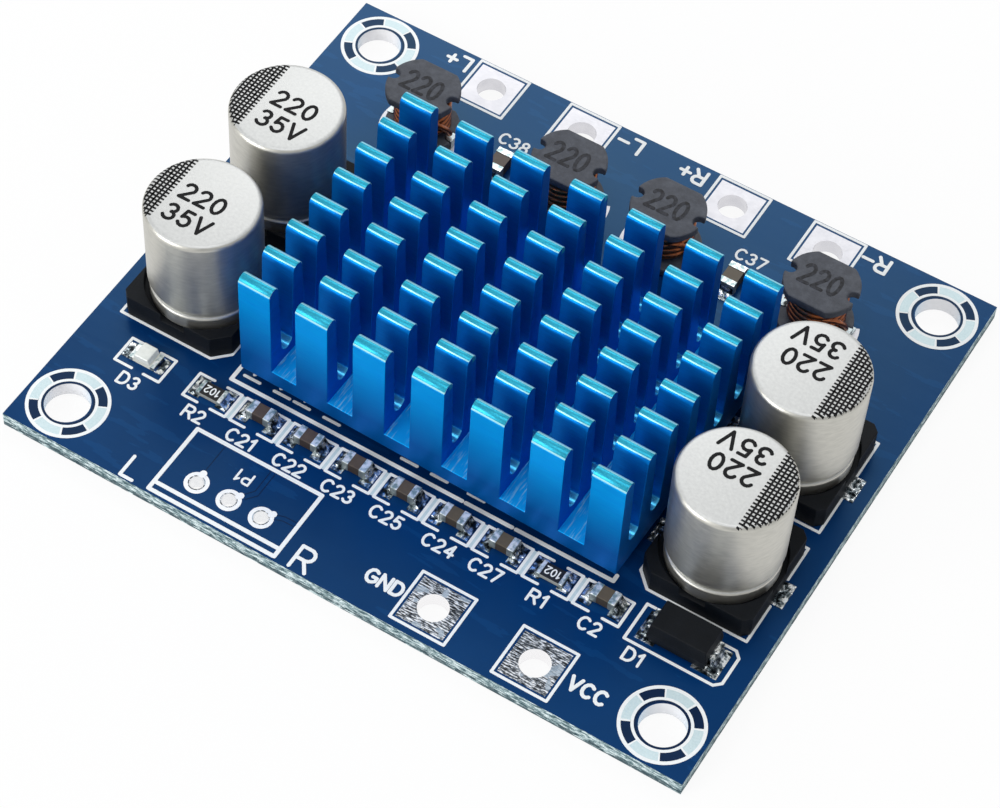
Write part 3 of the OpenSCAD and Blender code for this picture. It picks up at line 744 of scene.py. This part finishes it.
can_places = {}
for corner in CORNERS:
    low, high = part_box("capacitor_can_" + corner)
    middle = (low + high) / 2
    can_places[corner] = (middle.x, middle.y, high.z)
    bm = bmesh.new()
    spun(bm, can_profile((high.x - low.x) / 2 / MM, low.z / MM, high.z / MM), middle)
    rim = [e for e in bm.edges if e.is_boundary]
    bmesh.ops.holes_fill(bm, edges=rim, sides=0)
    piece("drawn_can_" + corner, bm, can_aluminium, ("capacitor_can_" + corner,), 40.0)

# %% [markdown]
# Wire on a drum is a helix. Spin can move its profile a little at each step, so one small circle, turned seven
# times and lifted by its own width at each turn, is the winding. The two tails run out to the notches, where they
# are soldered to the terminals.

# %% Windings
WIRE, WIRE_STEPS = 0.52, 40


def tube(bm, points, radius, sides=8):
    """A round wire along a few points, in metres: one circle, bridged from point to point."""
    loops = []
    for i, point in enumerate(points):
        way = (points[min(i + 1, len(points) - 1)] - points[max(i - 1, 0)]).normalized()
        turn = way.to_track_quat("Z", "Y").to_matrix().to_4x4()
        ring = bmesh.ops.create_circle(
            bm, cap_ends=i in (0, len(points) - 1), segments=sides, radius=radius,
            matrix=Matrix.Translation(point) @ turn,
        )
        loops.append(list({e for v in ring["verts"] for e in v.link_edges}))
    for first, second in zip(loops, loops[1:]):
        bmesh.ops.bridge_loops(bm, edges=first + second)


for coil in COILS:
    low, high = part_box("inductor_winding_" + coil)
    core_low, core_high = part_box("inductor_core_" + coil)
    middle = (low + high) / 2
    reach = (high.x - low.x) / 2 - WIRE / 2 * MM
    turns = (high.z - low.z) / (WIRE * MM) - 1.0
    bm = bmesh.new()
    start = Matrix.Translation((middle.x + reach, middle.y, low.z + WIRE / 2 * MM)) @ Matrix.Rotation(pi / 2, 4, "X")
    ring = bmesh.ops.create_circle(bm, segments=8, radius=WIRE / 2 * MM, matrix=start)
    around = list({e for v in ring["verts"] for e in v.link_edges})
    bmesh.ops.spin(
        bm, geom=ring["verts"] + around, cent=middle, axis=(0.0, 0.0, 1.0), dvec=(0.0, 0.0, WIRE * MM / WIRE_STEPS),
        angle=2 * pi * turns, steps=round(turns * WIRE_STEPS), use_merge=False, use_duplicate=False,
    )
    bmesh.ops.holes_fill(bm, edges=[e for e in bm.edges if e.is_boundary], sides=0)
    for side in (1, -1):
        notch = middle.x + side * ((core_high.x - core_low.x) / 2 - 0.35 * MM)
        foot = core_low.z + 0.55 * MM
        leaving = middle.z + side * 0.5 * MM
        route = [
            Vector((middle.x + side * reach * 0.55, middle.y - side * reach * 0.85, leaving)),
            Vector((middle.x + side * reach * 0.95, middle.y - side * reach * 0.55, leaving - 0.2 * MM)),
            Vector((notch - side * 0.05 * MM, middle.y - side * 0.35 * MM, (leaving + foot) / 2)),
            Vector((notch, middle.y, foot + 0.35 * MM)),
        ]
        tube(bm, route, WIRE * 0.42 * MM)
    piece("wound_wire_" + coil, bm, copper_wire, ("inductor_winding_" + coil,), 60.0)

# %% [markdown]
# The white print is ink, about two hundredths of a millimetre thick, and it is made of few shapes: lines with
# round ends, bands round a centre, plates and letters. Each helper starts from a flat shape on the board and
# raises it, so the print is solid and lies on the lacquer from every side. Letters could come from a text object,
# but print on boards is drawn with a round pen, so here each letter is a few strokes of the same line.

# %% Helpers for print
BOARD_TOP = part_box("circuit_board")[1].z / MM
INK, ROUND = 0.02, 12
HAIR, LAYERS = 0.0012, 7
laid = [0]


def raised(bm, faces, thick):
    """Raises a flat shape. Neighbours differ by a hair, so that tops that overlap never lie in one plane."""
    laid[0] = (laid[0] + 1) % LAYERS
    grown = bmesh.ops.extrude_face_region(bm, geom=faces)
    tops = [v for v in grown["geom"] if isinstance(v, bmesh.types.BMVert)]
    bmesh.ops.translate(bm, verts=tops, vec=(0.0, 0.0, (thick + HAIR * laid[0]) * MM))


def line(bm, start, end, width, z=BOARD_TOP, thick=INK):
    """A printed line with round ends, in millimetres."""
    run = Vector(end) - Vector(start)
    made = bmesh.ops.create_circle(
        bm, cap_ends=True, segments=ROUND, radius=width / 2 * MM, matrix=Matrix.Rotation(pi / ROUND, 4, "Z")
    )["verts"]
    bmesh.ops.translate(bm, verts=[v for v in made if v.co.x > 0], vec=(run.length * MM, 0.0, 0.0))
    place = Matrix.Translation((start[0] * MM, start[1] * MM, z * MM)) @ Matrix.Rotation(atan2(run.y, run.x), 4, "Z")
    bmesh.ops.transform(bm, matrix=place, verts=made)
    raised(bm, made[0].link_faces[:], thick)


def path(bm, points, width, **how):
    for start, end in zip(points, points[1:]):
        line(bm, start, end, width, **how)


def band(bm, centre, inner, outer, middle, spread, z=BOARD_TOP, thick=INK):
    """A flat piece of a ring, by its middle angle and spread in degrees."""
    before = set(bm.faces)
    angle = radians(middle - spread / 2)
    ends = [
        bm.verts.new(((centre[0] + r * cos(angle)) * MM, (centre[1] + r * sin(angle)) * MM, z * MM))
        for r in (inner, outer)
    ]
    bmesh.ops.spin(
        bm, geom=ends + [bm.edges.new(ends)], cent=(centre[0] * MM, centre[1] * MM, z * MM), axis=(0.0, 0.0, 1.0),
        dvec=(0.0, 0.0, 0.0), angle=radians(spread), steps=max(4, round(spread / 5)), use_merge=spread >= 360,
        use_duplicate=False,
    )
    raised(bm, [f for f in bm.faces if f not in before], thick)


def plate(bm, low, high, z=BOARD_TOP, thick=INK):
    size = Matrix.Diagonal(((high[0] - low[0]) * MM, (high[1] - low[1]) * MM, 1.0, 1.0))
    middle = Matrix.Translation(((low[0] + high[0]) / 2 * MM, (low[1] + high[1]) / 2 * MM, z * MM))
    made = bmesh.ops.create_grid(bm, x_segments=1, y_segments=1, size=0.5, matrix=middle @ size)["verts"]
    raised(bm, made[0].link_faces[:], thick)


# each letter: its width, then its pen strokes, for a height of one
PEN = {
    "C": (0.70, [bow(0.37, 0.5, 0.37, 0.5, 48, 312, 10)]),
    "G": (0.74, [bow(0.38, 0.5, 0.38, 0.5, 50, 300, 10) + [(0.74, 0.2), (0.74, 0.46), (0.44, 0.46)]]),
    "D": (0.68, [[(0, 0), (0, 1), (0.3, 1)] + bow(0.3, 0.5, 0.38, 0.5, 80, -80) + [(0.3, 0), (0, 0)]]),
    "R": (0.68, [[(0, 0), (0, 1), (0.4, 1)] + bow(0.4, 0.735, 0.25, 0.265, 75, -90, 6) + [(0, 0.47)],
                 [(0.36, 0.47), (0.68, 0)]]),
    "P": (0.62, [[(0, 0), (0, 1), (0.36, 1)] + bow(0.36, 0.73, 0.26, 0.27, 75, -90, 6) + [(0, 0.46)]]),
    "N": (0.66, [[(0, 0), (0, 1), (0.66, 0), (0.66, 1)]]),
    "V": (0.70, [[(0, 1), (0.35, 0), (0.70, 1)]]),
    "L": (0.56, [[(0, 1), (0, 0), (0.56, 0)]]),
    "0": (0.56, [bow(0.28, 0.5, 0.28, 0.5, 0, 360, 14)]),
    "1": (0.36, [[(0.04, 0.76), (0.27, 1), (0.27, 0)]]),
    "2": (0.58, [bow(0.285, 0.72, 0.27, 0.28, 160, -28) + [(0.0, 0.0), (0.58, 0.0)]]),
    "3": (0.58, [bow(0.27, 0.75, 0.25, 0.25, 150, -80), bow(0.28, 0.27, 0.29, 0.27, 80, -155, 9)]),
    "4": (0.60, [[(0.44, 0), (0.44, 1), (0.0, 0.3), (0.60, 0.3)]]),
    "5": (0.58, [[(0.52, 1), (0.12, 1), (0.05, 0.53)] + bow(0.28, 0.32, 0.29, 0.32, 128, -150, 9)]),
    "7": (0.56, [[(0, 1), (0.56, 1), (0.2, 0)]]),
    "8": (0.58, [bow(0.29, 0.76, 0.23, 0.24, -90, 270, 10), bow(0.29, 0.26, 0.29, 0.26, 90, 450, 12)]),
    "+": (0.60, [[(0, 0.5), (0.6, 0.5)], [(0.3, 0.2), (0.3, 0.8)]]),
    "-": (0.60, [[(0, 0.5), (0.6, 0.5)]]),
}


def letters(bm, words, centre, height, pen, turn=0.0, gap=0.27, wide=1.0, **where):
    """Words written with a round pen about a centre, in millimetres. The height is that of the ink."""
    scale = height - pen
    length = sum(PEN[c][0] for c in words) + gap * (len(words) - 1)
    spin = Matrix.Rotation(radians(turn), 2)
    along = -length / 2
    for c in words:
        width, strokes = PEN[c]
        for points in strokes:
            spots = [spin @ Vector(((along + x) * scale * wide, (y - 0.5) * scale)) for x, y in points]
            path(bm, [(centre[0] + p.x, centre[1] + p.y) for p in spots], pen, **where)
        along += width + gap


print("print helpers ready, board top at", round(BOARD_TOP, 3), "mm")

# %% [markdown]
# Each mounting hole has a printed ring: two white circles with segments between them, by turns bare lacquer and
# tin. The tin segments look along the board's edges and the dark ones along its diagonals. Inside the inner circle a
# dark band is painted round the hole as the shade of its wall.

# %% Rings at the mounting holes
HOLES = [(x, y) for x in (-HOLE_X, HOLE_X) for y in (-HOLE_Y, HOLE_Y)]
ring_print, ring_lands, gaps_and_rim_shade = bmesh.new(), bmesh.new(), bmesh.new()
for hole in HOLES:
    band(ring_print, hole, 1.78, 1.98, 0.0, 360.0)
    band(ring_print, hole, 2.59, 2.83, 0.0, 360.0)
    # A dark band round the hole's edge: painted shade for the hole wall.
    band(gaps_and_rim_shade, hole, HOLE_R, 1.78, 0.0, 360.0, thick=0.01)
    for quarter in range(4):
        band(ring_lands, hole, 1.98, 2.59, 90.0 * quarter, 46.0)
        band(gaps_and_rim_shade, hole, 1.98, 2.59, 90.0 * quarter + 45.0, 40.0, thick=0.01)
        for side in (-1, 1):
            band(ring_print, hole, 1.96, 2.61, 90.0 * quarter + side * 24.0, 3.4)
piece("hole_ring_print", ring_print, white_print)
piece("hole_ring_tin", ring_lands, ring_tin)
piece("hole_gaps_and_rim_shade", gaps_and_rim_shade, dark_lacquer_and_shade)

# %% [markdown]
# Outlines show where each part goes. They are drawn here from lists of corners, broken where a lead or a land
# passes, as the real print is, because ink on a land would spoil the solder joint.

# %% Outlines of the parts
outlines, bars = bmesh.new(), bmesh.new()
FINE, BROAD, PAD_HALF = 0.21, 0.30, 2.0
SQUARE = ((-1, -1), (1, -1), (1, 1), (-1, 1), (-1, -1))
ROW_FIRST, ROW_PITCH, ROW_FRONT, ROW_REAR = -16.83, 3.74, -14.33, -12.25


def bracket(x, tip, low, high, width=FINE):
    """Three sides of a frame, open towards tip."""
    path(outlines, [(tip, high), (x, high), (x, low), (tip, low)], width)


for place in range(9):
    left = ROW_FIRST + ROW_PITCH * place
    bracket(left + 0.2, left + 1.35, ROW_FRONT, ROW_REAR)
    bracket(left + ROW_PITCH - 0.2, left + ROW_PITCH - 1.35, ROW_FRONT, ROW_REAR)
    if place:
        plate(bars, (left - 0.14, ROW_FRONT), (left + 0.14, ROW_REAR), thick=0.012)
bracket(-22.06, -20.7, -14.38, -12.3)
bracket(-18.52, -19.75, -14.38, -12.3)
path(outlines, [(18.32, -11.83), (17.35, -11.83), (17.35, -14.82), (23.75, -14.82), (24.2, -14.4), (24.2, -12.25),
                (23.8, -11.83), (22.66, -11.83)], FINE)
for side in (-1, 1):
    for front, rear, land_front, land_rear in ((-10.88, -2.55, -7.75, -5.35), (-1.06, 7.33, 2.1, 4.2)):
        outer, inner, cut = 24.0, 15.72, 1.05
        path(outlines, [(side * outer, land_front), (side * outer, front), (side * (inner + cut), front),
                        (side * inner, front + cut), (side * inner, land_front)], FINE)
        path(outlines, [(side * outer, land_rear), (side * outer, rear), (side * (inner + cut), rear),
                        (side * inner, rear - cut), (side * inner, land_rear)], FINE)
path(outlines, [(-14.21, -21.67), (-4.48, -21.67), (-4.48, -16.09), (-14.21, -16.09), (-14.21, -21.67)], BROAD)
line(outlines, (-14.21, -21.02), (-4.48, -21.02), BROAD)
SINK_LINE = -11.52
path(outlines, [(-14.66, -10.06), (-14.66, SINK_LINE), (3.32, SINK_LINE)], BROAD)
line(outlines, (3.62, SINK_LINE), (7.1, SINK_LINE), BROAD)
path(outlines, [(7.42, SINK_LINE), (14.66, SINK_LINE), (14.66, -11.05)], BROAD)
for start in (-14.18, -11.82, -10.25, -7.91, -1.86, 0.44, 3.26):
    line(outlines, (start + 0.1, -10.8), (start + 1.3, -10.8), 0.23)
for x in (-13.55, -11.46, -9.55, -1.31):
    line(outlines, (x, -10.4), (x + 0.05, -10.36), 0.23)
for x, y in ((-13.6, 19.85), (-6.1, 19.85), (6.1, 19.85), (13.6, 19.85), (6.1, -19.45), (13.6, -19.45)):
    path(outlines, [(x + PAD_HALF * a, y + PAD_HALF * b) for a, b in SQUARE], FINE)
piece("part_outline_print", outlines, white_print)
piece("row_bar_tin", bars, ring_tin)

# %% [markdown]
# The lettering names the parts and the wires, in the sizes measured in the photograph. The rear labels are turned
# round, to be read from behind.

# %% Lettering on the board
lettering = bmesh.new()
ROW_LABELS = {
    "R2": -15.09, "C21": -11.36, "C22": -7.61, "C23": -3.84, "C25": -0.12, "C24": 3.89, "C27": 7.37, "R1": 11.28,
    "C2": 15.08,
}
for words, x in ROW_LABELS.items():
    letters(lettering, words, (x, -15.25), 1.12, 0.19)
letters(lettering, "D3", (-20.25, -15.35), 1.12, 0.19)
letters(lettering, "D1", (18.55, -15.72), 1.14, 0.19)
letters(lettering, "GND", (2.5, -19.5), 1.22, 0.24)
letters(lettering, "VCC", (17.4, -19.42), 1.22, 0.25)
letters(lettering, "L", (-15.92, -20.95), 1.9, 0.25)
letters(lettering, "R", (-2.75, -20.85), 2.0, 0.26)
letters(lettering, "P1", (-9.5, -17.65), 1.02, 0.16, 180.0)
letters(lettering, "C38", (-9.6, 16.4), 1.1, 0.18)
letters(lettering, "C37", (9.45, 16.4), 1.1, 0.18)
for words, x in (("L+", -17.0), ("L-", -2.75), ("R+", 2.35), ("R-", 16.8)):
    letters(lettering, words, (x, 20.87), 1.5, 0.26, 180.0, 0.24)
piece("label_print", lettering, white_print)

# %% [markdown]
# Bare copper that takes solder is tinned. The lands under the leads are thin plates and pieces of rings, and on
# the lands of the chip parts, the diode and the cans lies solder that has run and set in lumps. Round wire lands
# have a small drop where the track leaves, which keeps the drill from cutting it off, and a thin rim at the hole.

# %% Lands
lands = bmesh.new()
for coil in COILS:
    low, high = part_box("inductor_core_" + coil)
    middle = ((low.x + high.x) / 2 / MM, (low.y + high.y) / 2 / MM)
    for angle in (0.0, 180.0):
        band(lands, middle, 1.6, 3.12, angle, 48.0)
piece("coil_lands", lands, bright_tin)

HEADER_Y, LAND_TOP = -19.65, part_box("header_pads")[1].z / MM
drops, rims = bmesh.new(), bmesh.new()
for x, way in ((-11.84, 92.0), (-9.34, 56.0), (-6.84, 50.0)):
    out = Vector((cos(radians(way)), sin(radians(way))))
    line(drops, (x + 0.72 * out.x, HEADER_Y + 0.72 * out.y), (x + 0.83 * out.x, HEADER_Y + 0.83 * out.y), 0.5)
    band(rims, (x, HEADER_Y), 0.5, 0.58, 0.0, 360.0, z=LAND_TOP, thick=0.004)
piece("header_land_drops", drops, lit_header_tin)
piece("header_hole_rims", rims, levelled_tin)

gaps = bmesh.new()
for way in (
    [(-8.85, -18.85), (-8.3, -18.15), (-8.3, -16.35)], [(-8.5, -19.05), (-7.95, -18.35), (-7.95, -16.35)],
    [(-6.15, -18.95), (-5.55, -18.75), (-4.75, -18.75)], [(-6.05, -19.3), (-5.5, -19.1), (-4.75, -19.1)],
    [(-11.9, -18.7), (-11.9, -16.35)],
):
    path(gaps, way, 0.07, thick=0.004)
piece("track_gaps", gaps, dark_lacquer_and_shade)

soldered = bmesh.new()
for place in range(9):
    middle = ROW_FIRST + ROW_PITCH * (place + 0.5)
    for side in (-1, 1):
        plate(soldered, (middle + side * 1.07 - 0.42, -14.02), (middle + side * 1.07 + 0.42, -12.42), thick=0.05)
for side in (-1, 1):
    plate(soldered, (-20.3 + side * 1.2 - 0.4, -13.85), (-20.3 + side * 1.2 + 0.4, -12.6), thick=0.05)
    for y in (-7.56, 2.15):
        plate(soldered, (side * 24.1 - 0.65, y), (side * 24.1 + 0.65, y + 2.0), thick=0.05)
        plate(soldered, (side * 15.5 - 0.65, y), (side * 15.5 + 0.65, y + 2.0), thick=0.05)
    for y in (12.55, 15.2):
        plate(soldered, (side * 9.3 - 0.6, y - 0.4), (side * 9.3 + 0.6, y + 0.4), thick=0.05)
plate(soldered, (17.85, -14.43), (19.2, -12.1), thick=0.05)
plate(soldered, (21.9, -14.43), (23.73, -12.1), thick=0.05)
piece("soldered_lands", soldered, solder)

# %% [markdown]
# The cans carry their value in black ink, with a hatched segment over the negative lead. Lines across the can and
# lines along the segment make the hatch, each cut off where it meets the round edge. The flat hatch is then bent
# down over that edge.

# %% Print on the cans
can_print = bmesh.new()
HATCH_STEP, HATCH_LINE, HATCH_INK = 0.3, 0.135, 0.012


def strip(bm, start, end, width, cuts=10):
    """A flat strip in many short pieces, so that it can bend over an edge."""
    run = Vector(end) - Vector(start)
    shape = Matrix.Diagonal((run.length * MM, width * MM, 1.0, 1.0))
    middle = (Vector(end) + Vector(start)) / 2
    place = Matrix.Translation((middle.x * MM, middle.y * MM, 0.0)) @ Matrix.Rotation(atan2(run.y, run.x), 4, "Z")
    made = bmesh.ops.create_grid(bm, x_segments=cuts, y_segments=1, size=0.5, matrix=place @ shape)["verts"]
    raised(bm, list({f for v in made for f in v.link_faces}), HATCH_INK)


def hatch(radius, side, chord):
    """The hatched segment of a can about the origin, laid over the round top edge."""
    bm = bmesh.new()
    rim = radius - 0.1
    along = chord + 0.1
    while along < rim - 0.15:
        half = sqrt(rim ** 2 - along ** 2)
        strip(bm, (side * along, -half), (side * along, half), HATCH_LINE, 24)
        along += HATCH_STEP
    across = -11 * HATCH_STEP
    while across < 11.5 * HATCH_STEP:
        reach = sqrt(rim ** 2 - across ** 2)
        if reach > chord:
            strip(bm, (side * (chord - 0.2), across), (side * reach, across), HATCH_LINE)
        across += HATCH_STEP
    for v in bm.verts:
        over = min(Vector((v.co.x, v.co.y)).length / MM - (radius - CAN_EDGE), CAN_EDGE)
        if over > 0:
            v.co.z -= (CAN_EDGE - sqrt(CAN_EDGE ** 2 - over ** 2)) * MM
    return bm


# where the two lines stand on each can, which turns a little in its base, and where its hatch begins
WORDS_AT = {
    "front_left": ((-0.1, 0.25), (-0.05, -1.75), 2.42), "rear_left": ((0.4, 0.35), (0.52, -1.65), 2.0),
    "front_right": ((0.45, -0.28), (0.58, -2.2), 1.97), "rear_right": ((0.5, -0.02), (0.6, -2.05), 1.92),
}


def can_words(bm, centre, z, turn, value_at, volts_at):
    spin = Matrix.Rotation(radians(turn), 2)
    for words, spot in (("220", value_at), ("35V", volts_at)):
        place = Vector(centre) + spin @ Vector(spot)
        letters(bm, words, place, 1.52, 0.25, turn, 0.3, 1.04, z=z, thick=HATCH_INK)


for corner, (x, y, top) in can_places.items():
    centre, side = (x / MM, y / MM), 1 if x > 0 else -1
    low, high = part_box("capacitor_can_" + corner)
    value_at, volts_at, chord = WORDS_AT[corner]
    shaped = hatch((high.x - low.x) / 2 / MM, side, chord)
    bmesh.ops.translate(shaped, verts=shaped.verts, vec=(x, y, top))
    flat = bpy.data.meshes.new("hatch")
    shaped.to_mesh(flat)
    shaped.free()
    can_print.from_mesh(flat)
    bpy.data.meshes.remove(flat)
    can_words(can_print, centre, top / MM, 90.0 + 90.0 * side, value_at, volts_at)
piece("can_top_print", can_print, dark_ink)

# %% [markdown]
# The inductors carry their value too, in dark ink on the drum, and the chip resistors have their code in white on
# the black glaze.

# %% Marks on the inductors and resistors
drum_marks = bmesh.new()
for coil in COILS:
    low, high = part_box("inductor_core_" + coil)
    middle = ((low.x + high.x) / 2 / MM, (low.y + high.y) / 2 / MM)
    spot = (middle[0] - 0.12, middle[1] + 0.12)
    letters(drum_marks, "220", spot, 1.9, 0.27, wide=0.74, z=high.z / MM, thick=0.012)
piece("drum_mark_print", drum_marks, worn_ink)

codes = bmesh.new()
for node in ("chip_resistor_1", "chip_resistor_2"):
    low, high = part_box(node)
    spot = ((low.x + high.x) / 2 / MM, CHIP["resistor"][0])
    letters(codes, "102", spot, 0.64, 0.1, 180.0, wide=0.95, z=high.z / MM - INSET, thick=0.006)
piece("resistor_code_print", codes, white_print)
